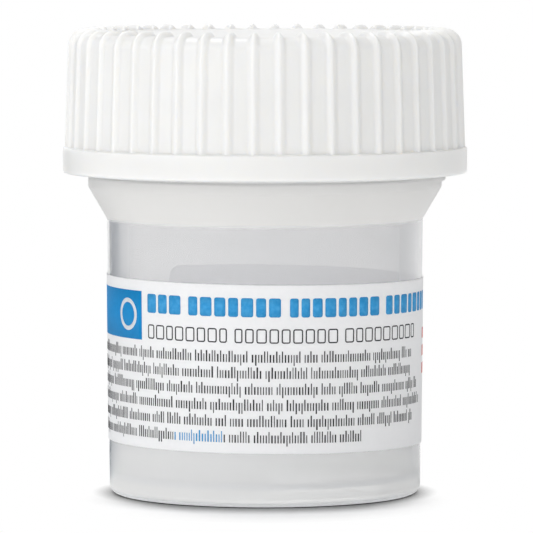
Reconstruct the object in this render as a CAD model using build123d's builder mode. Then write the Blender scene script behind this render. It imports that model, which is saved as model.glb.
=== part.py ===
from build123d import *
import os
from math import cos, radians, sin, tan

# A wide-mouth specimen jar with a ribbed screw cap, in millimetres
# The jar stands on z = 0 with its axis on z, and its front faces -y

os.makedirs("parts", exist_ok=True)

front = -90.0  # degrees about z from +x round to the front

# Cap: its diameter is the standard size that every other radius follows
cap_diameter = 53.0
band_height = 3.4
band_ledge = 0.65  # how far the band stands out of the skirt
band_bevel = 0.3
skirt_draft = 2.0  # degrees of taper on the outside
skirt_wall = 1.05  # at the top, where the taper leaves it thinnest
skirt_gap = 1.8  # from the flare's edge up to the cap's lower edge
skirt_lead_in = 0.5
top_thickness = 1.3
shoulder_radius = 1.8

# Ribs, grips that run up the skirt and over the shoulder
rib_count = 48
rib_width = 0.9
rib_height = 0.6
rib_reach = 1.6  # how far each rib runs in over the flat top
rib_turn = 4.2  # degrees from the front to the first rib on its right
rib_root = 0.3  # how deep each rib goes into the skirt, the top and the band

# Liner, a foamed disc held in the cap by a bead
liner_thickness = 0.8
liner_clearance = 0.2
bead_height = 0.6  # how far it stands out of the skirt
bead_clearance = 0.12

# Jar
thread_room = 1.5  # between neck and skirt, where the threads run
wall = 1.35
neck_height = 18.0  # from the flare's edge up to the rim
neck_step_height = 1.0  # the slope from the flare's edge back in to the neck
flare_lip = 0.4  # how far the flare's edge stands out of the neck
flare_height = 4.2
flare_step = 2.05  # from the neck in to the top of the body
body_height = 36.1
body_draft = 0.52  # degrees of taper that let the jar leave its mould
floor_thickness = 1.5
base_corner_bevel = 0.9
floor_corner_bevel = 1.1
rim_bevel = 0.35

# Foot, a narrow ring that the jar stands on round a shallow recess
foot_width = 3.2
foot_recess = 0.7

# Liquid
fill_depth = 23.4
fill_clearance = 0.1

# Label
label_bottom = 7.0
label_height = 21.65
label_thickness = 0.12
label_clearance = 0.03
label_start = -105.0  # degrees from the front, positive to the right
label_wrap = 326.0  # degrees of the jar that the label goes round
label_tilt = 0.6  # degrees, its right side sits lower
label_corner_radius = 1.6

# Heights that follow
flare_top = body_height + flare_height
neck_bottom = flare_top + neck_step_height
rim_height = flare_top + neck_height
floor_height = foot_recess + floor_thickness
liner_top = rim_height + liner_thickness
cap_top = liner_top + top_thickness
skirt_bottom = flare_top + skirt_gap
band_top = skirt_bottom + band_height
shoulder_bottom = cap_top - shoulder_radius

# Radii that follow, from the cap inwards
band_radius = cap_diameter / 2
skirt_radius_low = band_radius - band_ledge
skirt_radius_high = skirt_radius_low - (cap_top - band_top) * tan(radians(skirt_draft))
shoulder_radius_low = skirt_radius_high + shoulder_radius * tan(radians(skirt_draft))
skirt_inner_radius = skirt_radius_high - skirt_wall
liner_radius = skirt_inner_radius - liner_clearance
neck_radius = skirt_inner_radius - thread_room
mouth_radius = neck_radius - wall
flare_radius = neck_radius + flare_lip
body_top_radius = neck_radius - flare_step
base_radius = body_top_radius - body_height * tan(radians(body_draft))
foot_inner_radius = base_radius - base_corner_bevel - foot_width


def body_radius(height):
    """Outside radius of the tapered jar body at a height."""
    return base_radius + height * tan(radians(body_draft))


# Jar: the outer shape is turned as one profile, then the bore is cut out of it
with BuildPart() as jar:
    with BuildSketch(Plane.XZ) as outline:
        with BuildLine():
            Polyline(
                (0, 0),
                (base_radius, 0),
                (body_top_radius, body_height),
                (flare_radius, flare_top),
                (neck_radius, neck_bottom),
                (neck_radius, rim_height),
                (0, rim_height),
                (0, 0),
            )
        make_face()
        chamfer(outline.vertices().group_by(Axis.Y)[0].sort_by(Axis.X)[-1], base_corner_bevel)
    revolve(axis=Axis.Z)

    bore_radius = body_radius(floor_height) - wall
    with BuildSketch(Plane.XZ) as bore:
        with BuildLine():
            Polyline(
                (0, floor_height),
                (bore_radius, floor_height),
                (body_top_radius - wall, body_height),
                (mouth_radius, flare_top),
                (mouth_radius, rim_height),
                (0, rim_height),
                (0, floor_height),
            )
        make_face()
        chamfer(bore.vertices().group_by(Axis.Y)[0].sort_by(Axis.X)[-1], floor_corner_bevel)
    revolve(axis=Axis.Z, mode=Mode.SUBTRACT)
    rim = jar.edges().filter_by(GeomType.CIRCLE).group_by(Axis.Z)[-1]
    chamfer(rim.sort_by(SortBy.RADIUS)[-1], rim_bevel)

    with BuildSketch(Plane.XY):
        Circle(foot_inner_radius)
    extrude(amount=foot_recess, mode=Mode.SUBTRACT)
jar.part.label = "jar"
export_step(jar.part, "parts/jar.step")

# The shoulder rounds in two flats, whose middle edge lies on the rounding's arc
shoulder_middle = shoulder_radius * (1 - cos(radians(45)))
shoulder = [
    (shoulder_radius_low, shoulder_bottom),
    (skirt_radius_high - shoulder_middle, cap_top - shoulder_middle),
    (skirt_radius_high - shoulder_radius, cap_top),
]

# One rib: its section runs up the skirt, bends over the shoulder and ends on the top
rib_foot = band_top - rib_root
rib_foot_radius = skirt_radius_low + rib_root * tan(radians(skirt_draft))
rib_end_radius = skirt_radius_high - shoulder_radius - rib_reach
with BuildPart() as rib:
    with BuildLine(Plane.XZ) as rib_path:
        Polyline((rib_foot_radius, rib_foot), *shoulder, (rib_end_radius, cap_top))
    with BuildSketch(Plane(origin=rib_path.line @ 0, x_dir=(0, -1, 0), z_dir=rib_path.line % 0)):
        with Locations((0, -rib_root)):
            Rectangle(rib_width, rib_root + rib_height, align=(Align.CENTER, Align.MIN))
    sweep(path=rib_path.line, transition=Transition.RIGHT)

# Cap: skirt, band and top turned as one shell, then the bead and the ribs added
with BuildPart() as cap:
    with BuildSketch(Plane.XZ):
        with BuildLine():
            Polyline(
                (0, cap_top),
                (0, liner_top),
                (skirt_inner_radius, liner_top),
                (skirt_inner_radius, skirt_bottom),
                (band_radius, skirt_bottom),
                (band_radius, band_top),
                (skirt_radius_low, band_top),
                *shoulder,
                (0, cap_top),
            )
        make_face()
    revolve(axis=Axis.Z)
    skirt_rim = cap.edges().filter_by(GeomType.CIRCLE).group_by(Axis.Z)[0]
    chamfer(skirt_rim.sort_by(SortBy.RADIUS)[0], skirt_lead_in)
    skirt_rim = cap.edges().filter_by(GeomType.CIRCLE).group_by(Axis.Z)[0]
    chamfer(skirt_rim.sort_by(SortBy.RADIUS)[-1], band_bevel)

    bead_top = rim_height - bead_clearance
    bead_root = skirt_inner_radius + skirt_wall / 2
    with BuildSketch(Plane.XZ):
        Polygon(
            (bead_root, bead_top),
            (skirt_inner_radius - bead_height, bead_top),
            (bead_root, bead_top - bead_height - skirt_wall / 2),
            align=None,
        )
    revolve(axis=Axis.Z)

    with PolarLocations(0, rib_count, start_angle=front + rib_turn):
        add(rib.part)
cap.part.label = "cap"
export_step(cap.part, "parts/cap.step")

# Liner: a flat disc between the jar's rim and the inside of the cap
with BuildPart() as cap_liner:
    with BuildSketch(Plane.XY.offset(rim_height)):
        Circle(liner_radius)
    extrude(amount=liner_thickness)
cap_liner.part.label = "cap_liner"
export_step(cap_liner.part, "parts/cap_liner.step")

# Liquid: it stands on the jar's floor up to its own flat surface
with BuildPart() as formalin_fill:
    with BuildSketch(Plane.XY.offset(floor_height + fill_clearance)):
        Circle(bore_radius - fill_clearance)
    extrude(amount=fill_depth - fill_clearance)
    chamfer(formalin_fill.edges().sort_by(Axis.Z)[0], floor_corner_bevel)
formalin_fill.part.label = "formalin_fill"
export_step(formalin_fill.part, "parts/formalin_fill.step")

# Label: a thin sleeve round the body, open at the back, cut top and bottom on the tilt
label_top = label_bottom + label_height
label_centre = (label_bottom + label_top) / 2
label_margin = base_radius * sin(radians(label_tilt)) + label_thickness
label_radius = body_radius(label_top + label_margin) + label_clearance
with BuildPart() as label:
    with BuildSketch(Plane.XZ.rotated((0, 0, front + label_start))):
        with Locations((label_radius, label_bottom - label_margin)):
            Rectangle(label_thickness, label_height + 2 * label_margin, align=Align.MIN)
    revolve(axis=Axis.Z, revolution_arc=label_wrap)
    half_height = label_height / 2 * cos(radians(label_tilt))
    tilted_plane = Plane.XY.offset(label_centre).rotated((0, label_tilt, 0))
    split(bisect_by=tilted_plane.offset(half_height), keep=Keep.BOTTOM)
    split(bisect_by=tilted_plane.offset(-half_height), keep=Keep.TOP)
    corner_edges = label.edges().filter_by(lambda edge: edge.length < 2 * label_thickness)
    fillet(corner_edges, label_corner_radius)
label.part.label = "label"
export_step(label.part, "parts/label.step")
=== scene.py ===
# %% [markdown]
# # A specimen jar with a ribbed screw cap
# The object is a wide-mouth jar of translucent plastic, 61 mm high, with a white ribbed cap, a
# printed label and clear liquid inside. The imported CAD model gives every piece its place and
# its motion. This script gives each piece its finish, and models again the ones whose beauty
# lies in round edges: the jar, the cap, the label and the liquid.

import random
from math import atan2, copysign, cos, pi, radians, sin, sqrt, tan

import bmesh
import bpy
from mathutils import Matrix, Vector


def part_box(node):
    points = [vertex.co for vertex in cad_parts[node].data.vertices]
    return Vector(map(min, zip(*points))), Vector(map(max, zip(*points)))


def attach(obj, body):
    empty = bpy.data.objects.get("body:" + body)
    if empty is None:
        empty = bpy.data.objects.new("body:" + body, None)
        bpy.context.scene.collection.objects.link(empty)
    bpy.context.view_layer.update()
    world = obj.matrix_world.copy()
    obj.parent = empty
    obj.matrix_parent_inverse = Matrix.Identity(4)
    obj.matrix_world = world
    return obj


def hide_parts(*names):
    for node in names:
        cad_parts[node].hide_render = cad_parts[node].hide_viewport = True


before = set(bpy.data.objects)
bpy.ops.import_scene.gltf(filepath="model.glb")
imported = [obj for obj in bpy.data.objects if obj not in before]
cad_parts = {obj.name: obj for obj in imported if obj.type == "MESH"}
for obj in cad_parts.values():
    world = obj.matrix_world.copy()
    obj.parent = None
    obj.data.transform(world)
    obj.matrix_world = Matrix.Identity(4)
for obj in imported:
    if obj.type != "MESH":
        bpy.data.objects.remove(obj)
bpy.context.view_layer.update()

# %% [markdown]
# ## Sizes
# A scene file works in metres, while a moulder thinks in millimetres, so sizes are written in
# millimetres and multiplied by `mm` where a mesh is made. What the frame knows is read from it:
# the cap's box gives the band's radius, the jar's box gives the rim. Only what a box can't
# tell, such as a wall or a rounding, is written here.

# %% Sizes read from the frame
mm = 0.001


def box_mm(node):
    """The radius, lowest and highest height of a round node, in millimetres."""
    low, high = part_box(node)
    return high.x / mm, low.z / mm, high.z / mm


flare_radius, _, rim_height = box_mm("jar")
band_radius, cap_bottom, crest_top = box_mm("cap")
_, _, liner_top = box_mm("cap_liner")
_, fill_bottom, fill_top = box_mm("formalin_fill")
print("flare", flare_radius, "rim", rim_height, "band", band_radius, "crest", crest_top)

# %% Sizes of the jar
wall = 1.35
body_height = 36.1
flare_top = 40.3
lip_height = 1.3
lip_width = 0.4
flare_step = 2.05
neck_radius = flare_radius - lip_width
body_top_radius = neck_radius - flare_step
body_slope = tan(radians(0.52))
floor_height = 2.2
foot_recess = 0.7
foot_inner_radius = 16.3


def body_radius(height):
    """Outside radius of the jar's tapered body at a height, in millimetres."""
    return body_top_radius - (body_height - height) * body_slope


# %% Sizes of the cap
rib_count = 48
rib_height = 0.6
skirt_rib_height = 0.4
rib_width = 1.3
rib_turn = 4.2
rib_reach = 1.6
band_height = 3.4
band_ledge = 0.65
skirt_wall = 1.05
shoulder_radius = 1.8
cap_top = crest_top - rib_height
band_top = cap_bottom + band_height
skirt_slope = tan(radians(2.0))
skirt_radius_low = band_radius - band_ledge
skirt_radius_high = skirt_radius_low - (cap_top - band_top) * skirt_slope
skirt_inner_radius = skirt_radius_high - skirt_wall

# %% [markdown]
# ## Two helpers for meshes
# Almost every piece here is round, as a moulded or turned thing is. Such a piece is quickest
# made the way a lathe or a mould maker thinks of it: draw half of its section as a thin line,
# round the corners of that line, and spin it about the axis. Rounding the line first is cheaper
# and cleaner than bevelling the finished shell.

# %% Round a corner of a section, and spin a section
axis_up = (0, 0, 1)
corner_segments = 6


def round_corner(bm, vert, radius):
    """Rounds one corner of a wire outline to a radius in millimetres."""
    along = [(edge.other_vert(vert).co - vert.co).normalized() for edge in vert.link_edges]
    tangent = radius * mm / tan(along[0].angle(along[1]) / 2)
    bmesh.ops.bevel(
        bm, geom=[vert], offset=tangent, offset_type="OFFSET", segments=corner_segments,
        profile=0.5, affect="VERTICES", material=-1,
    )


def section(points):
    """A wire in the XZ plane through (radius, height, rounding) points, in millimetres."""
    bm = bmesh.new()
    verts = [bm.verts.new((radius * mm, 0, height * mm)) for radius, height, _ in points]
    for start, end in zip(verts, verts[1:]):
        bm.edges.new((start, end))
    for vert, (_, _, rounding) in zip(verts, points):
        if rounding:
            round_corner(bm, vert, rounding)
    return bm


def close_up(bm):
    """Merges what a spin leaves doubled and turns every face outwards."""
    bmesh.ops.remove_doubles(bm, verts=bm.verts, dist=0.002 * mm)
    bmesh.ops.recalc_face_normals(bm, faces=bm.faces)


def turned(points, steps):
    """A section spun all the way round the axis."""
    bm = section(points)
    bmesh.ops.spin(
        bm, geom=bm.verts[:] + bm.edges[:], cent=(0, 0, 0), axis=axis_up, dvec=(0, 0, 0),
        angle=2 * pi, steps=steps, use_merge=True, use_duplicate=False,
    )
    close_up(bm)
    return bm


# %% [markdown]
# ## Making a piece of the object
# A finished mesh becomes a piece when it rides on a body of the frame, so that it moves as the
# CAD says, and carries its material. Where it stands for a CAD node, that node is hidden.
# Weighted normals keep the flats between two roundings looking flat.

# %% Turn a mesh into a piece
def add_object(bm, name, material):
    """Puts a mesh in the scene as an object at the origin, shaded smooth."""
    mesh = bpy.data.meshes.new(name)
    bm.to_mesh(mesh)
    bm.free()
    mesh.shade_smooth()
    obj = bpy.data.objects.new(name, mesh)
    bpy.context.scene.collection.objects.link(obj)
    mesh.materials.append(material)
    return obj


def make_piece(bm, name, material, body, stands_for=None, weighted=True):
    """Adds a mesh as a piece that rides on a body and takes its finish from a slot."""
    obj = add_object(bm, name, material)
    if weighted:
        obj.modifiers.new("flat flats", "WEIGHTED_NORMAL").weight = 100
    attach(obj, body)
    if stands_for:
        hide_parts(stands_for)
    low, high = (Vector(corner) for corner in (obj.bound_box[0], obj.bound_box[6]))
    size = [round(side / mm, 2) for side in high - low]
    print(name, "size in mm", size, "faces", len(obj.data.polygons))
    return obj


# %% [markdown]
# ## Helpers for materials
# Colours are written as the hex values that a colour picker shows and turned to linear light by
# one function. One more function adds a node, sets its sockets and links what feeds it, and a few
# short ones on top of it make the nodes that come back in every material. That keeps each
# material below to a few readable lines.

# %% Colours and nodes
def linear(hex_colour):
    """An sRGB hex colour as linear red, green, blue and alpha."""
    channels = [int(hex_colour[i:i + 2], 16) / 255 for i in (1, 3, 5)]
    curve = [c / 12.92 if c <= 0.04045 else ((c + 0.055) / 1.055) ** 2.4 for c in channels]
    return (*curve, 1.0)


def add(tree, kind, settings=None, **inputs):
    """Adds a node. Settings are its own properties, and inputs are values or sockets to link."""
    node = tree.nodes.new(kind)
    for key, value in (settings or {}).items():
        setattr(node, key, value)
    for key, value in inputs.items():
        number = key[1:]
        socket = node.inputs[int(number) if number.isdigit() else key.replace("_", " ")]
        if isinstance(value, bpy.types.NodeSocket):
            tree.links.new(value, socket)
        else:
            socket.default_value = value
    return node


def new_material(name):
    """A material, its empty node tree, and the place on the object that is being coloured."""
    material = bpy.data.materials.new(name)
    material.use_nodes = True
    tree = material.node_tree
    tree.nodes.clear()
    return material, tree, add(tree, "ShaderNodeTexCoord").outputs["Object"]


def per_metre(size_in_mm):
    """A texture scale whose features are about this size on the object."""
    return 1 / (size_in_mm * mm)


def blend(tree, share, low, high):
    """A colour that goes from low to high with a share from 0 to 1."""
    return add(
        tree, "ShaderNodeMix", {"data_type": "RGBA"}, _0=share, _6=low, _7=high
    ).outputs[2]


def mix(tree, share, first, second):
    """A shader that goes from the first to the second with a share from 0 to 1."""
    return add(tree, "ShaderNodeMixShader", _0=share, _1=first, _2=second).outputs[0]


def raised(tree, height, strength, depth):
    """A normal that makes a texture look raised by a depth in millimetres."""
    return add(
        tree, "ShaderNodeBump", Strength=strength, Distance=depth * mm, Height=height
    ).outputs[0]


def either(tree, first, second):
    """The larger of two values, which says whether light is one of two kinds."""
    return add(tree, "ShaderNodeMath", {"operation": "MAXIMUM"}, _0=first, _1=second).outputs[0]


def show(tree, shader):
    """Links a shader to the material's output."""
    add(tree, "ShaderNodeOutputMaterial", Surface=shader)


def let_light_in(tree, shader, film):
    """A shader that lamps and scattered light pass as a clear film, so the inside is lit."""
    clear = add(tree, "ShaderNodeBsdfTransparent", Color=film).outputs[0]
    rays = add(tree, "ShaderNodeLightPath").outputs
    soft = either(tree, rays["Is Shadow Ray"], rays["Is Diffuse Ray"])
    return mix(tree, soft, shader, clear)


# %% [markdown]
# ## The cap's plastic
# Caps like this are injection moulded in white polyethylene. The mould is lightly blasted, so
# the surface has a satin sheen with a very fine grain, and the plastic lets a little light in,
# which softens the shade beside each rib. Flow in the mould leaves faint, wide changes of tone.

# %% White moulded polyethylene
def white_polyethylene():
    material, tree, place = new_material("white_moulded_polyethylene")
    flow = add(tree, "ShaderNodeTexNoise", Vector=place, Scale=per_metre(14), Detail=2.0)
    tone = blend(tree, flow.outputs["Fac"], linear("#E0E0DF"), linear("#E6E6E5"))
    grain = add(tree, "ShaderNodeTexNoise", Vector=place, Scale=per_metre(0.35), Detail=3.0)
    gloss = add(
        tree, "ShaderNodeMapRange", Value=grain.outputs["Fac"], To_Min=0.28, To_Max=0.38
    )
    plastic = add(
        tree, "ShaderNodeBsdfPrincipled", Base_Color=tone, Roughness=gloss.outputs[0], IOR=1.5,
        Normal=raised(tree, grain.outputs["Fac"], 0.05, 0.02),
        Subsurface_Weight=0.8, Subsurface_Scale=1.6 * mm, Subsurface_Radius=(1.0, 0.95, 0.85),
    )
    show(tree, plastic.outputs[0])
    return material


# %% [markdown]
# ## The jar's plastic
# The jar is natural polypropylene: no pigment, but its crystals scatter some light, so it is
# clear as fog and not as glass. The body comes from a polished mould and is see-through. The
# flare under the cap is blasted to a matte finish, so the same plastic looks like frosted glass
# there, and the thick foot is milkier than the thin wall. One material does all three: three
# lists of zones say how milky, how rough and how strongly scattering it is at each height. The
# light that a milky wall scatters and passes on is the Translucent shader's part. Lamps can't
# shine through a glass-like surface, and scattered light finds its way through one too seldom, so
# for those two the plastic counts as a pale clear film. Without that the inside would be dark.

# %% Zones of the jar: each is a height in millimetres and a value from 0 to 1
milky_zones = [(0, 0.85), (2.0, 0.75), (3.2, 0.5), (5.5, 0.42), (7.5, 0.38), (8.5, 0.1),
               (35.9, 0.1), (36.3, 1.0), (44.0, 1.0)]
rough_zones = [(0, 0.3), (3.0, 0.12), (5.0, 0.05), (8.5, 0.015), (35.9, 0.015), (36.3, 0.45),
               (44.0, 0.45)]
through_zones = [(0, 0.3), (3.2, 0.15), (8.5, 0.04), (35.9, 0.04), (36.3, 0.35), (44.0, 0.35)]


def grey(value):
    """A value from 0 to 1 as a colour."""
    return (value, value, value, 1)


def zone_ramp(tree, share, zones):
    """A value that follows the height through a list of zones."""
    ramp = add(tree, "ShaderNodeValToRGB", Fac=share)
    stops = ramp.color_ramp.elements
    for height, value in zones[1:]:
        stops.new(height / rim_height).color = grey(value)
    stops[0].color, stops[-1].color = grey(zones[0][1]), grey(zones[-1][1])
    return ramp.outputs[0]


# %% Translucent polypropylene
def natural_polypropylene():
    material, tree, place = new_material("natural_polypropylene")
    height = add(tree, "ShaderNodeSeparateXYZ", Vector=place).outputs["Z"]
    zones = add(
        tree, "ShaderNodeMapRange", Value=height, From_Min=0.0, From_Max=rim_height * mm
    )
    milky, gloss, through = (
        zone_ramp(tree, zones.outputs[0], values)
        for values in (milky_zones, rough_zones, through_zones)
    )
    clearness = add(tree, "ShaderNodeMapRange", Value=milky, To_Min=0.82, To_Max=0.3)
    waves = add(tree, "ShaderNodeTexNoise", Vector=place, Scale=per_metre(5), Detail=1.0)
    cloud = add(tree, "ShaderNodeTexNoise", Vector=place, Scale=per_metre(9), Detail=2.0)
    clear_tone = blend(tree, cloud.outputs["Fac"], linear("#E6E6E7"), linear("#EBEBEB"))
    tone = blend(tree, milky, clear_tone, linear("#F6F5F2"))
    plastic = add(
        tree, "ShaderNodeBsdfPrincipled", Base_Color=tone, Roughness=gloss, IOR=1.49,
        Normal=raised(tree, waves.outputs["Fac"], 0.04, 0.05),
        Transmission_Weight=clearness.outputs[0],
    )
    scatter = add(tree, "ShaderNodeBsdfTranslucent", Color=tone)
    wall_shader = mix(tree, through, plastic.outputs[0], scatter.outputs[0])
    show(tree, let_light_in(tree, wall_shader, linear("#FCFCFD")))
    return material


# %% [markdown]
# ## The liquid, the foam and the paper
# The fixative is clear and watery, with the faintest cold tint; its lowest millimetre is painted
# shade, a darker and colder blue along its floor line. The liner is closed-cell polyethylene
# foam: matte, with cells of a few tenths of a millimetre. The label is coated paper: white, a
# little glossy, and thin enough that light from behind glows through it. Its fibres are finer
# than the render can show, so they are drawn coarser and very weak.

# %% Clear liquid
# Painted shade: the liquid's lowest millimetre fades from a darker, colder blue to its own faint
# tint.
painted_band_from, painted_band_to = fill_bottom + 0.2, fill_bottom + 0.9


def clear_fixative():
    material, tree, place = new_material("clear_fixative")
    height = add(tree, "ShaderNodeSeparateXYZ", Vector=place).outputs["Z"]
    painted_band = add(
        tree, "ShaderNodeMapRange", Value=height, From_Min=painted_band_from * mm, From_Max=painted_band_to * mm
    )
    tone = blend(tree, painted_band.outputs[0], linear("#D3DCE8"), linear("#F9FAFB"))
    water = add(
        tree, "ShaderNodeBsdfPrincipled", Base_Color=tone, Roughness=0.0, IOR=1.34,
        Transmission_Weight=1.0,
    )
    show(tree, let_light_in(tree, water.outputs[0], linear("#FBFCFC")))
    return material


# %% Foam and paper
def polyethylene_foam():
    material, tree, place = new_material("polyethylene_foam")
    cells = add(tree, "ShaderNodeTexVoronoi", Vector=place, Scale=per_metre(0.4))
    tone = blend(tree, cells.outputs["Distance"], linear("#E9E8E3"), linear("#F6F6F2"))
    foam = add(
        tree, "ShaderNodeBsdfPrincipled", Base_Color=tone, Roughness=0.8,
        Normal=raised(tree, cells.outputs["Distance"], 0.4, 0.08),
    )
    show(tree, foam.outputs[0])
    return material


paper_glow = 0.33


def coated_paper():
    material, tree, place = new_material("coated_label_paper")
    fibres = add(tree, "ShaderNodeTexNoise", Vector=place, Scale=per_metre(0.5), Detail=4.0)
    tone = blend(tree, fibres.outputs["Fac"], linear("#F4F4F5"), linear("#F9F9F9"))
    front = add(
        tree, "ShaderNodeBsdfPrincipled", Base_Color=tone, Roughness=0.5, IOR=1.5,
        Normal=raised(tree, fibres.outputs["Fac"], 0.06, 0.02),
    )
    through = add(tree, "ShaderNodeBsdfTranslucent", Color=tone)
    show(tree, mix(tree, paper_glow, front.outputs[0], through.outputs[0]))
    return material


# %% [markdown]
# ## Inks
# Print is not perfectly even: a roller leaves less ink in some places than in others. Each ink is
# its colour with a mottle of a few tenths of a millimetre towards a lighter tone of itself.

# %% One ink
def ink(name, full, thin):
    material, tree, place = new_material(name)
    mottle = add(tree, "ShaderNodeTexNoise", Vector=place, Scale=per_metre(0.6), Detail=3.0)
    even = add(
        tree, "ShaderNodeMapRange", Value=mottle.outputs["Fac"], From_Min=0.35, From_Max=0.75
    )
    tone = blend(tree, even.outputs[0], linear(full), linear(thin))
    print_film = add(
        tree, "ShaderNodeBsdfPrincipled", Base_Color=tone, Roughness=0.6, IOR=1.5,
        Specular_IOR_Level=0.2,
    )
    show(tree, print_film.outputs[0])
    return material


# %% Make every material once
cap_plastic = white_polyethylene()
jar_plastic = natural_polypropylene()
fixative = clear_fixative()
foam = polyethylene_foam()
paper = coated_paper()
block_blue = ink("block_blue_ink", "#007EBC", "#0484C2")
title_blue = ink("title_blue_ink", "#2A8AC4", "#469DD1")
black_ink = ink("black_ink", "#232326", "#3A3A3D")
red_ink = ink("red_ink", "#D26462", "#E0918F")

# %% [markdown]
# ## Screw threads
# The neck and the cap carry a right-hand thread: a ridge with sloping flanks that climbs one
# pitch each turn and fades into the wall at both ends, so that the thread can start. It could be
# a curve with a bevel, but a spin with a rise does it in one step: the ridge's section is a small
# face, and the spin lifts it as it goes round. The cap's ridge lies just under the neck's, flank
# by flank, as it does when the cap is tight. Both are hidden while the cap is on, but for the
# first few degrees of the neck's, which show at the right above the flare.

# %% A helical ridge
thread_pitch = 25.4 / 6
thread_foot = 1.9
thread_crest = 0.7
thread_height = 0.95
thread_fade = 1 / 9
steps_per_turn = 60


def thread(root, crest, low, high, start):
    """A ridge from root to crest radius that climbs from low to high, in millimetres."""
    bm = bmesh.new()
    half_foot, half_crest = thread_foot / 2, thread_crest / 2
    corners = [(root, -half_foot), (crest, -half_crest), (crest, half_crest), (root, half_foot)]
    verts = [bm.verts.new((radius * mm, 0, (low + rise) * mm)) for radius, rise in corners]
    bm.faces.new(verts)
    turns = (high - low) / thread_pitch
    steps = round(turns * steps_per_turn)
    bmesh.ops.spin(
        bm, geom=bm.verts[:] + bm.edges[:] + bm.faces[:], cent=(0, 0, 0), axis=axis_up,
        dvec=(0, 0, (high - low) * mm / steps), angle=2 * pi * turns, steps=steps,
        use_merge=False, use_duplicate=False,
    )
    for index, vert in enumerate(bm.verts):
        step = index // len(corners)
        full = thread_fade * steps_per_turn
        rise = min(1.0, step / full, (steps - step) / full)
        radius = vert.co.xy.length
        sunk = root * mm + (radius - root * mm) * sin(rise * pi / 2)
        vert.co.xy *= sunk / radius
    bmesh.ops.rotate(bm, verts=bm.verts, cent=(0, 0, 0), matrix=Matrix.Rotation(start, 3, "Z"))
    close_up(bm)
    return bm


# %% Where the two threads start, in turns from the right-hand side
neck_thread_start = -1 / 8
cap_thread_start = 1 / 4
flank_distance = 1.05
neck_thread_low, neck_thread_high = flare_top + 0.85, rim_height - 2.4
cap_thread_low = (
    neck_thread_low + thread_pitch * (1 + cap_thread_start - neck_thread_start) - flank_distance
)
cap_thread_high = rim_height - 2.6

# %% [markdown]
# ## The jar
# One section gives the whole jar: up the outside from the foot, over the flare's upright lip and
# the rim, and down the bore to the floor. Every corner is rounded as a mould leaves it, most of
# all at the bottom, inside and out. The thread is then joined to the neck by a boolean union and
# not just pushed into it, because light bends at every surface of a clear plastic, and a ridge
# with a hidden root inside the wall would show.

# %% Turn the jar
jar_steps = 192
edge_rounding = 0.3
bore_rounding = 1.0
floor_rounding = 1.8
lip_slope = 0.15
lip_top = flare_top + lip_height
jar_outline = [
    (0, foot_recess, 0),
    (foot_inner_radius, foot_recess, 0.25),
    (foot_inner_radius + 0.15, 0, 0.2),
    (body_radius(0), 0, 1.2),
    (body_top_radius, body_height, edge_rounding),
    (flare_radius, flare_top, 0.45),
    (flare_radius, lip_top, edge_rounding),
    (neck_radius, lip_top + lip_slope, 0.06),
    (neck_radius, rim_height, edge_rounding),
    (neck_radius - wall, rim_height, edge_rounding),
    (neck_radius - wall, flare_top, bore_rounding),
    (body_top_radius - wall, body_height, bore_rounding),
    (body_radius(floor_height) - wall, floor_height, floor_rounding),
    (0, floor_height, 0),
]
jar_mesh = turned(jar_outline, jar_steps)

# %% Join the thread to the neck
def count_open_edges(bm):
    """How many edges don't have exactly two faces, which is none on a closed shell."""
    return sum(1 for edge in bm.edges if not edge.is_manifold)


neck_thread_bm = thread(
    neck_radius - 0.25, neck_radius + thread_height, neck_thread_low, neck_thread_high,
    2 * pi * neck_thread_start,
)
neck_thread = add_object(neck_thread_bm, "neck_thread", jar_plastic)
plain_jar = add_object(jar_mesh, "plain_jar", jar_plastic)
union = plain_jar.modifiers.new("thread", "BOOLEAN")
union.operation = "UNION"
union.solver = "EXACT"
union.object = neck_thread
bpy.context.view_layer.update()
depsgraph = bpy.context.evaluated_depsgraph_get()
joined = bpy.data.meshes.new_from_object(plain_jar.evaluated_get(depsgraph))
jar_bm = bmesh.new()
jar_bm.from_mesh(joined)
for helper in (neck_thread, plain_jar):
    bpy.data.objects.remove(helper)
print("jar: edges that are not closed", count_open_edges(jar_bm))
make_piece(jar_bm, "jar_shell", jar_plastic, "jar", "jar")

# %% [markdown]
# ## The cap
# The cap is a lathe shape with 48 ribs, and each rib runs up the skirt, over the shoulder and a
# little way in over the top. Adding 48 bars to a shell leaves a crease where they meet. A mould
# has no such crease, so the ribs are raised from the shell itself: one sector, a 48th of the
# cap, is spun from the section, its middle is pushed outwards, and the sector is then
# repeated all the way round and welded. The ribs are low on the skirt, rise over the shoulder and
# end on the top in a quarter round. A sector's columns crowd to its middle, where the rib is.

# %% The cap's section
rib_end_radius = skirt_radius_high - shoulder_radius - rib_reach
lead_in = 0.5
bead_height = 0.5
end_rows = 7
rib_end_rows = [
    (rib_end_radius + rib_height * (1 - cos(pi / 2 * row / end_rows)), cap_top, 0)
    for row in range(end_rows + 1)
]
cap_outline = [
    (0, cap_top, 0),
    (skirt_radius_high / 2, cap_top, 0),
    *rib_end_rows,
    (skirt_radius_high, cap_top, shoulder_radius),
    (skirt_radius_low, band_top, 0.25),
    (band_radius, band_top, 0.3),
    (band_radius, cap_bottom, 0.4),
    (skirt_inner_radius + lead_in, cap_bottom, 0.2),
    (skirt_inner_radius, cap_bottom + 0.6, 0.2),
    (skirt_inner_radius, rim_height - 1.6, 0.2),
    (skirt_inner_radius - bead_height, rim_height - 0.7, 0.25),
    (skirt_inner_radius, rim_height - 0.12, 0.1),
    (skirt_inner_radius, liner_top, 0.2),
    (0, liner_top, 0),
]

# %% One sector with its rib
sector_angle = 2 * pi / rib_count
half_sector = sector_angle / 2
sector_columns = 14
crowding = 1.6
tiny = 0.01


def rib_shape(across):
    """Height of a rib, from 0 to 1, at a distance in millimetres from its middle line."""
    share = min(abs(across) / (rib_width / 2), 1.0)
    return (1 - share ** 2) ** 1.2


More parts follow.
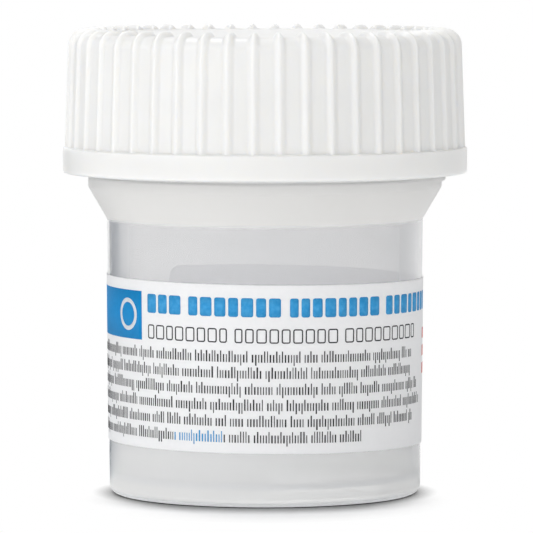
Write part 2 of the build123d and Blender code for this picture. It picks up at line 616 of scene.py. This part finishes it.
def rib_rise(radius, height):
    """How far a rib stands out of the shell at a place on the section, in millimetres."""
    if height < band_top:
        return 0.0
    if height < cap_top - shoulder_radius:
        crest = skirt_radius_low + skirt_rib_height - (height - band_top) * skirt_slope
        return max(0.0, crest - radius)
    if height < cap_top - tiny:
        grown = (height - cap_top + shoulder_radius) / shoulder_radius
        return skirt_rib_height + (rib_height - skirt_rib_height) * grown
    along_end = min(max((radius - rib_end_radius) / rib_height, 0.0), 1.0)
    return rib_height * sqrt(1 - (1 - along_end) ** 2)


def outwards(radius, height):
    """The direction straight out of the shell, as (radius, height)."""
    centre = Vector((skirt_radius_high - shoulder_radius, cap_top - shoulder_radius))
    away = Vector((max(radius - centre.x, 0), max(height - centre.y, 0)))
    return away.normalized() if away.length else Vector((0, 1))


cap_bm = section(cap_outline)
bmesh.ops.rotate(
    cap_bm, verts=cap_bm.verts, cent=(0, 0, 0), matrix=Matrix.Rotation(-half_sector, 3, "Z")
)
bmesh.ops.spin(
    cap_bm, geom=cap_bm.verts[:] + cap_bm.edges[:], cent=(0, 0, 0), axis=axis_up, dvec=(0, 0, 0),
    angle=sector_angle, steps=sector_columns, use_merge=False, use_duplicate=False,
)
middle_of_wall = (skirt_inner_radius + skirt_radius_low) / 2
for vert in cap_bm.verts:
    radius, height = vert.co.xy.length / mm, vert.co.z / mm
    if radius < tiny:
        continue
    turn = atan2(vert.co.y, vert.co.x) / half_sector
    turn = copysign(min(abs(turn), 1.0) ** crowding, turn)
    azimuth = turn * half_sector
    outside = height > liner_top + tiny or radius > middle_of_wall
    rise = rib_rise(radius, height) * rib_shape(radius * azimuth) if outside else 0.0
    direction = outwards(radius, height)
    radius += direction.x * rise
    height += direction.y * rise
    vert.co = (radius * cos(azimuth) * mm, radius * sin(azimuth) * mm, height * mm)

# %% Repeat the sector round the cap
front = -pi / 2
bmesh.ops.rotate(
    cap_bm, verts=cap_bm.verts, cent=(0, 0, 0),
    matrix=Matrix.Rotation(front + radians(rib_turn), 3, "Z"),
)
bmesh.ops.spin(
    cap_bm, geom=cap_bm.verts[:] + cap_bm.edges[:] + cap_bm.faces[:], cent=(0, 0, 0),
    axis=axis_up, dvec=(0, 0, 0), angle=sector_angle * (rib_count - 1), steps=rib_count - 1,
    use_merge=False, use_duplicate=True,
)
close_up(cap_bm)
print("cap: edges that are not closed", count_open_edges(cap_bm))
make_piece(cap_bm, "cap_shell", cap_plastic, "cap", "cap", weighted=False)

# %% The cap's own thread
cap_thread_bm = thread(
    skirt_inner_radius + 0.2, skirt_inner_radius - thread_height, cap_thread_low,
    cap_thread_high, 2 * pi * cap_thread_start,
)
make_piece(cap_thread_bm, "cap_thread", cap_plastic, "cap", weighted=False)

# %% [markdown]
# ## The liner
# The liner stays the CAD's own disc, whose shape is right. Only its material is new.

# %% Dress the liner
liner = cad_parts["cap_liner"]
liner.material_slots[0].material = foam

# %% [markdown]
# ## The liquid
# Water in a jar has no skin of air between itself and the wall. If the two meshes only touched,
# or had a gap, light would bend twice and the wall would shine like a mirror. So the liquid is
# made a twentieth of a millimetre too large and reaches into the plastic, where light then goes
# straight from one to the other. Its top curls up slightly at the wall.

# %% Turn the liquid
overlap = 0.05
meniscus = 0.35


def bore_radius(height):
    """Inside radius of the jar's body at a height, in millimetres."""
    return body_radius(height) - wall


fill_outline = [
    (0, floor_height - overlap, 0),
    (bore_radius(floor_height) + overlap, floor_height - overlap, floor_rounding),
    (bore_radius(fill_top) + overlap, fill_top + meniscus, 0),
    (bore_radius(fill_top) - 0.1, fill_top + meniscus, 0),
    (bore_radius(fill_top) - 0.5, fill_top, 0.5),
    (0, fill_top, 0),
]
make_piece(
    turned(fill_outline, jar_steps), "fixative", fixative, "jar", "formalin_fill"
)

# %% [markdown]
# ## The label
# A label is cut flat and then wrapped, and it is made the same way here: a flat rectangle gets
# its four round corners, is sliced into narrow strips so that it can bend, and is laid on the
# tapered body. The wrapping is one function, so the print can be laid out flat too and wrapped
# by the same rule. The whole label was applied a little crooked, lower at its right.

# %% Wrap a flat sheet round the body
label_bottom = 7.0
label_height = 21.65
label_thickness = 0.1
label_gap = 0.02
label_corner = 1.6
label_start = radians(-105)
label_end = label_start + radians(326)
label_tilt = tan(radians(0.6))
label_middle = label_bottom + label_height / 2
unroll_radius = body_radius(label_middle) + label_thickness


def slice_strips(bm, low, high, width):
    """Cuts a flat sheet into upright strips, so that it can bend."""
    count = round((high - low) / width)
    for index in range(1, count):
        place = low + (high - low) * index / count
        bmesh.ops.bisect_plane(
            bm, geom=bm.verts[:] + bm.edges[:] + bm.faces[:], dist=0.0001,
            plane_co=(place, 0, 0), plane_no=(1, 0, 0),
        )


def wrap(bm, lift):
    """Lays a flat sheet, drawn in millimetres as (along, up), on the jar's body."""
    for vert in bm.verts:
        along, up, out = vert.co
        azimuth = along / unroll_radius
        radius = body_radius(up) + label_gap + lift + out
        side = radius * sin(azimuth)
        vert.co = (side * mm, -radius * cos(azimuth) * mm, (up - side * label_tilt) * mm)


def flat_rectangle(bm, low, high, rounding=0.0):
    """Adds a rectangle between two corners, with its own corners rounded."""
    corners = [(low[0], low[1]), (high[0], low[1]), (high[0], high[1]), (low[0], high[1])]
    verts = [bm.verts.new((along, up, 0)) for along, up in corners]
    bm.faces.new(verts)
    if rounding:
        bmesh.ops.bevel(
            bm, geom=verts, offset=rounding, offset_type="OFFSET", segments=3, profile=0.5,
            affect="VERTICES", material=-1,
        )


def thicken(bm, thickness):
    """Gives a flat sheet its thickness."""
    walls = bmesh.ops.extrude_face_region(bm, geom=bm.faces[:])
    top = [item for item in walls["geom"] if isinstance(item, bmesh.types.BMVert)]
    bmesh.ops.translate(bm, verts=top, vec=(0, 0, thickness))
    bmesh.ops.recalc_face_normals(bm, faces=bm.faces)


# %% Cut and wrap the label
strip_width = 0.75
label_left = label_start * unroll_radius
label_right = label_end * unroll_radius
label_bm = bmesh.new()
flat_rectangle(
    label_bm, (label_left, label_bottom), (label_right, label_bottom + label_height),
    label_corner,
)
slice_strips(label_bm, label_left, label_right, strip_width)
thicken(label_bm, label_thickness)
wrap(label_bm, 0.0)
close_up(label_bm)
make_piece(label_bm, "label_sheet", paper, "jar", "label")

# %% [markdown]
# ## The print
# The label is laid out as such labels are, in plain shapes: a bare blue block with a ring, a bold
# line of solid blocks, a light line of thin outlined cells, rows of short upright strokes as
# small print, red marks at the right, and ruled lines to write on. A seeded random generator
# varies the widths, so each run draws the same. Each kind of mark is one mesh: it is laid out
# flat, in millimetres along and up the label, gets a film's thickness, and is wrapped like the
# sheet under it.

# %% Print helpers
print_lift = label_thickness - 0.01
print_film_thickness = 0.025
dice = random.Random(7)


def marks_between(left, right, widths, gap, space, groups):
    """Yields (left, right) of each mark of a line, set in groups of so many marks."""
    place = left
    for count in groups:
        for _ in range(count):
            width = dice.uniform(*widths)
            if place + width > right:
                return
            yield place, place + width
            place += width + gap
        place += space


def group_lengths(shortest, longest):
    """An endless run of random lengths of a group."""
    while True:
        yield dice.randint(shortest, longest)


def make_print(bm, name, material):
    """Slices, thickens and wraps a flat layout, and makes it a piece on the jar."""
    along = [vert.co.x for vert in bm.verts]
    slice_strips(bm, min(along), max(along), strip_width)
    thicken(bm, print_film_thickness)
    wrap(bm, print_lift)
    bmesh.ops.recalc_face_normals(bm, faces=bm.faces)
    return make_piece(bm, name, material, "jar", weighted=False)


# %% The blue block with its ring
block_left, block_right = -33.5, -18.05
block_bottom, block_top = 20.95, 27.25
ring_centre = (-21.2, 24.1)
ring_outer, ring_inner = 2.1, 1.55
ring_lift = 0.012
block_bm = bmesh.new()
flat_rectangle(block_bm, (block_left, block_bottom), (block_right, block_top))
make_print(block_bm, "print_block", block_blue)

ring_bm = bmesh.new()
bmesh.ops.create_circle(ring_bm, cap_ends=True, segments=48, radius=ring_outer)
ring_face = ring_bm.faces[:]
bmesh.ops.inset_region(
    ring_bm, faces=ring_face, thickness=ring_outer - ring_inner, use_boundary=True,
    use_even_offset=True,
)
bmesh.ops.delete(ring_bm, geom=ring_face, context="FACES")
bmesh.ops.translate(ring_bm, verts=ring_bm.verts, vec=(*ring_centre, ring_lift))
make_print(ring_bm, "print_ring", paper)

# %% A line of blocks
block_rounding = 0.28


def row_of_blocks(groups, low, high, gap):
    """Groups of blocks, each given as (left, right, how many), that fill it from end to end."""
    bm = bmesh.new()
    for left, right, count in groups:
        shares = [dice.uniform(0.8, 1.2) for _ in range(count)]
        scale = (right - left - gap * (count - 1)) / sum(shares)
        for share in shares:
            flat_rectangle(bm, (left, low), (left + share * scale, high), block_rounding)
            left += share * scale + gap
    return bm


# %% The bold line, solid
title_groups = [(-16.9, -11.35, 3), (-10.2, 2.05, 7), (3.2, 16.3, 8), (17.6, 30.4, 8)]
title_bottom, title_top, title_gap = 24.55, 27.0, 0.36
title_bm = row_of_blocks(title_groups, title_bottom, title_top, title_gap)
make_print(title_bm, "print_title", title_blue)

# %% The light line, outlined
cell_groups = [(-16.8, -4.9, 8), (-3.9, 9.7, 9), (10.75, 24.9, 9)]
cell_bottom, cell_top, cell_gap = 21.2, 23.05, 0.34
cell_stroke = 0.16
cell_bm = row_of_blocks(cell_groups, cell_bottom, cell_top, cell_gap)
cells = cell_bm.faces[:]
bmesh.ops.inset_individual(cell_bm, faces=cells, thickness=cell_stroke)
bmesh.ops.delete(cell_bm, geom=cells, context="FACES")
make_print(cell_bm, "print_cells", black_ink)

# %% The small print
line_pitch = 2.07
first_line = 18.75
line_left = -37.0
line_ends = [24.2, 23.8, 26.2, 27.4, 24.6, 13.6]
stroke_widths = (0.11, 0.2)
stroke_gap = 0.22
group_space = 0.34
short_height, tall_height = 1.0, 1.45
share_tall = 0.3
drop = 0.4
share_dropped = 0.08


def stroke(bm, left, right, base):
    """Adds one upright stroke of small print: mostly short, some tall, a few that drop."""
    kind = dice.random()
    high = base + (tall_height if kind > 1 - share_tall else short_height)
    low = base - (drop if kind < share_dropped else 0)
    flat_rectangle(bm, (left, low), (right, high))


small_bm = bmesh.new()
blue_bm = bmesh.new()
blue_left, blue_right = -12.6, -5.6
for number, line_right in enumerate(line_ends):
    base = first_line - number * line_pitch
    last = number == len(line_ends) - 1
    for left, right in marks_between(
        line_left, line_right, stroke_widths, stroke_gap, group_space, group_lengths(4, 20)
    ):
        is_blue = last and right > blue_left and left < blue_right
        stroke(blue_bm if is_blue else small_bm, left, right, base)
make_print(small_bm, "print_small_lines", black_ink)
make_print(blue_bm, "print_small_blue", title_blue)

# %% The red marks at the right
red_left, red_right = 29.7, 46.0
red_base, red_pitch, red_height = 20.7, 2.3, 1.4
red_widths, red_gap, red_space = (0.5, 0.9), 0.3, 0.7
red_groups = (5, 7, 4, 6)
red_rounding = 0.12
red_bm = bmesh.new()
for row in range(3):
    low = red_base - red_pitch * row
    for left, right in marks_between(
        red_left, red_right, red_widths, red_gap, red_space, red_groups
    ):
        flat_rectangle(red_bm, (left, low), (right, low + red_height), red_rounding)
make_print(red_bm, "print_red_marks", red_ink)

# %% Ruled lines to write on, round the side, each with its short caption
rule_left, rule_right = 49.0, 77.5
rule_base, rule_pitch = 20.4, 3.5
rule_drop, rule_width = 0.5, 0.14
caption_length = 7.0
rule_bm = bmesh.new()
for row in range(4):
    base = rule_base - rule_pitch * row
    low = base - rule_drop
    flat_rectangle(rule_bm, (rule_left, low), (rule_right, low + rule_width))
    for left, right in marks_between(
        rule_left, rule_left + caption_length, stroke_widths, stroke_gap, group_space,
        group_lengths(4, 12),
    ):
        stroke(rule_bm, left, right, base)
make_print(rule_bm, "print_rules", black_ink)

# %% [markdown]
# ## The camera
# The photograph was taken with a long lens from a little above. The camera's distance, height and
# lens were worked out from the ellipses of the cap, the flare and the foot, and from the cap's
# width of 53 mm. `lens_widths` is the focal length as a multiple of the sensor's width.

# %% Set up the camera
camera_distance = 743.2
camera_height = 79.45
camera_pitch = radians(3.83)
camera_shift_right = 0.2
sensor_width = 36.0
lens_widths = 10.64

camera_data = bpy.data.cameras.new("camera")
camera_data.sensor_width = sensor_width
camera_data.lens = lens_widths * sensor_width
camera = bpy.data.objects.new("camera", camera_data)
camera.location = (camera_shift_right * mm, -camera_distance * mm, camera_height * mm)
camera.rotation_euler = (pi / 2 - camera_pitch, 0, 0)
bpy.context.scene.collection.objects.link(camera)
bpy.context.scene.camera = camera

# %% [markdown]
# ## Floor and room
# The photograph is a product shot on white. The room is white behind, dimmer in front and has one
# dark screen at the back left: a clear jar shows its surroundings bent at its edges, and with
# nothing darker about it would have no edges at all. One list gives the room's tone by
# direction. The world shows it to light that has gone through or off the jar, and so does the
# floor.
#
# The floor near the jar is white paint, which takes the object's shadow. Further off it fades, in
# an oval, to a glow as white as the background. For bent light it is a glow everywhere, since a
# lit floor seen through the jar would be much too dim; near the foot that glow is a grey painted
# shade under the jar. Where the camera sees it straight, paint and glow both get a painted shade
# next to the foot, deepest where the foot hides the most sky: the paint within eight millimetres,
# the glow within three.

# %% The tones of the room
room_tones = [
    (-180, "#A9ABAE"), (-120, "#F4F6F8"), (-75, "#FFFFFF"), (-50, "#98A1AA"), (-34, "#5F6B77"),
    (-24, "#4C5864"), (-22, "#FFFFFF"), (11, "#FFFFFF"), (13, "#F4F5F6"), (20, "#F6F7F8"),
    (23, "#FFFFFF"), (60, "#C8CACC"), (110, "#D9D8D4"), (180, "#A9ABAE"),
]


def tone_by_direction(tree, way):
    """The room's tone in a direction, in degrees from straight behind, right positive."""
    parts = add(tree, "ShaderNodeSeparateXYZ", Vector=way).outputs
    turn = add(tree, "ShaderNodeMath", {"operation": "ARCTAN2"}, _0=parts["X"], _1=parts["Y"])
    share = add(
        tree, "ShaderNodeMapRange", Value=turn.outputs[0], From_Min=-pi, From_Max=pi
    )
    tones = add(tree, "ShaderNodeValToRGB", Fac=share.outputs[0])
    stops = tones.color_ramp.elements
    for angle, tone in room_tones[1:-1]:
        stops.new((angle + 180) / 360).color = linear(tone)
    stops[0].color, stops[-1].color = linear(room_tones[0][1]), linear(room_tones[-1][1])
    return tones.outputs[0]


def is_bent(tree, rays):
    """Whether light has gone through or off the object on its way from the camera."""
    return either(tree, rays["Is Transmission Ray"], rays["Is Glossy Ray"])


# %% The floor
shadow_centre = (0.0, -12.0, 0.0)
shadow_width, shadow_depth = 24.5, 27.0
fade_from, fade_to = 0.5, 1.0
# Painted shade: the grey that the floor shows to bent light near the foot, under the jar.
painted_under_shade = "#D6D9DC"
# Painted shade next to the foot, on top of the real shadow: its reach and depth, for paint and
# glow.
paint_reach, paint_strength = 8.0, 2.0
glow_reach, glow_strength = 2.6, 1.0


def shaded_white(tree, seen, reach, strength):
    """White with painted shade within a reach of the object, in millimetres, where seen is 1."""
    open_sky = add(tree, "ShaderNodeAmbientOcclusion", {"samples": 8}, Distance=reach * mm)
    shade = add(
        tree, "ShaderNodeMath", {"operation": "POWER"}, _0=open_sky.outputs["AO"], _1=strength
    )
    seen_shade = add(
        tree, "ShaderNodeMix", {"data_type": "FLOAT"}, _0=seen, _2=1.0, _3=shade.outputs[0]
    )
    return blend(tree, seen_shade.outputs[0], linear("#000000"), linear("#FFFFFF"))


def floor_white():
    material, tree, place = new_material("white_floor")
    rays = add(tree, "ShaderNodeLightPath").outputs
    from_centre = add(
        tree, "ShaderNodeVectorMath", {"operation": "SUBTRACT"}, _0=place,
        _1=Vector(shadow_centre) * mm,
    )
    oval = add(
        tree, "ShaderNodeVectorMath", {"operation": "DIVIDE"}, _0=from_centre.outputs[0],
        _1=(shadow_width * mm, shadow_depth * mm, 1.0),
    )
    far = add(tree, "ShaderNodeVectorMath", {"operation": "LENGTH"}, _0=oval.outputs[0])
    fade = add(
        tree, "ShaderNodeMapRange", {"interpolation_type": "SMOOTHSTEP"},
        Value=far.outputs["Value"], From_Min=fade_from, From_Max=fade_to,
    )
    seen = rays["Is Camera Ray"]
    bent = is_bent(tree, rays)
    straight = add(
        tree, "ShaderNodeMath", {"operation": "MULTIPLY"}, _0=seen, _1=fade.outputs[0]
    )
    bent_tone = blend(tree, fade.outputs[0], linear(painted_under_shade), tone_by_direction(tree, place))
    seen_tone = shaded_white(tree, seen, glow_reach, glow_strength)
    glow = add(
        tree, "ShaderNodeEmission", Color=blend(tree, bent, seen_tone, bent_tone), Strength=1.0
    )
    paint_tone = shaded_white(tree, seen, paint_reach, paint_strength)
    paint = add(tree, "ShaderNodeBsdfDiffuse", Color=paint_tone)
    share = either(tree, straight.outputs[0], bent)
    show(tree, mix(tree, share, paint.outputs[0], glow.outputs[0]))
    return material


floor_bm = bmesh.new()
bmesh.ops.create_grid(floor_bm, x_segments=1, y_segments=1, size=2.0)
floor = add_object(floor_bm, "floor", floor_white())

# %% The room
room_strength = 0.65


def room():
    """White for the camera, even for soft light, and toned by direction for clear plastic."""
    world = bpy.data.worlds.new("room")
    bpy.context.scene.world = world
    world.use_nodes = True
    tree = world.node_tree
    tree.nodes.clear()
    way = add(tree, "ShaderNodeTexCoord").outputs["Generated"]
    rays = add(tree, "ShaderNodeLightPath").outputs
    even = add(tree, "ShaderNodeBackground", Color=linear("#FFFFFF"), Strength=room_strength)
    toned = add(tree, "ShaderNodeBackground", Color=tone_by_direction(tree, way), Strength=1.0)
    white = add(tree, "ShaderNodeBackground", Color=linear("#FFFFFF"), Strength=1.0)
    unseen = mix(tree, is_bent(tree, rays), even.outputs[0], toned.outputs[0])
    light = mix(tree, rays["Is Camera Ray"], unseen, white.outputs[0])
    add(tree, "ShaderNodeOutputWorld", Surface=light)


room()


# %% [markdown]
# ## Lamps
# Four soft lamps light the cap and the jar, as a photographer's soft boxes do: one at the left,
# so that this side is the brighter, one in front, one above, and one behind that lights the jar
# from within. The two in front and behind can't be seen mirrored in the plastic: at a low angle
# the cap's flat top is a mirror, and it would turn blank white in them.

# %% The lamps
lamp_aim = Vector((0, 0, 0.03))


def soft_lamp(name, place, width, power):
    """A square lamp, in metres and watts, that looks at the middle of the object."""
    data = bpy.data.lights.new(name, "AREA")
    data.size = width
    data.energy = power
    lamp = bpy.data.objects.new(name, data)
    lamp.location = place
    lamp.rotation_euler = (lamp_aim - lamp.location).to_track_quat("-Z", "Y").to_euler()
    bpy.context.scene.collection.objects.link(lamp)
    return lamp


soft_lamp("left_key", (-0.55, -0.5, 0.35), 0.5, 1.35)
front_fill = soft_lamp("front_fill", (-0.02, -0.85, 0.14), 0.4, 2.0)
soft_lamp("top", (-0.14, 0.2, 0.7), 0.22, 1.2)
back = soft_lamp("back", (-0.25, 0.77, 0.3), 0.5, 2.8)
front_fill.visible_glossy = back.visible_glossy = False

# %% [markdown]
# ## Finish
# A path of light through this object crosses the wall, the liquid, the wall again and the label,
# twice, so it is allowed more turns than Blender's usual twelve; else the inside goes dark.
# Colours are shown as they are written.

# %% Finish
paths = bpy.context.scene.cycles
paths.max_bounces = 24
paths.transmission_bounces = 24
paths.diffuse_bounces = 8
paths.transparent_max_bounces = 48
bpy.context.scene.view_settings.view_transform = "Standard"
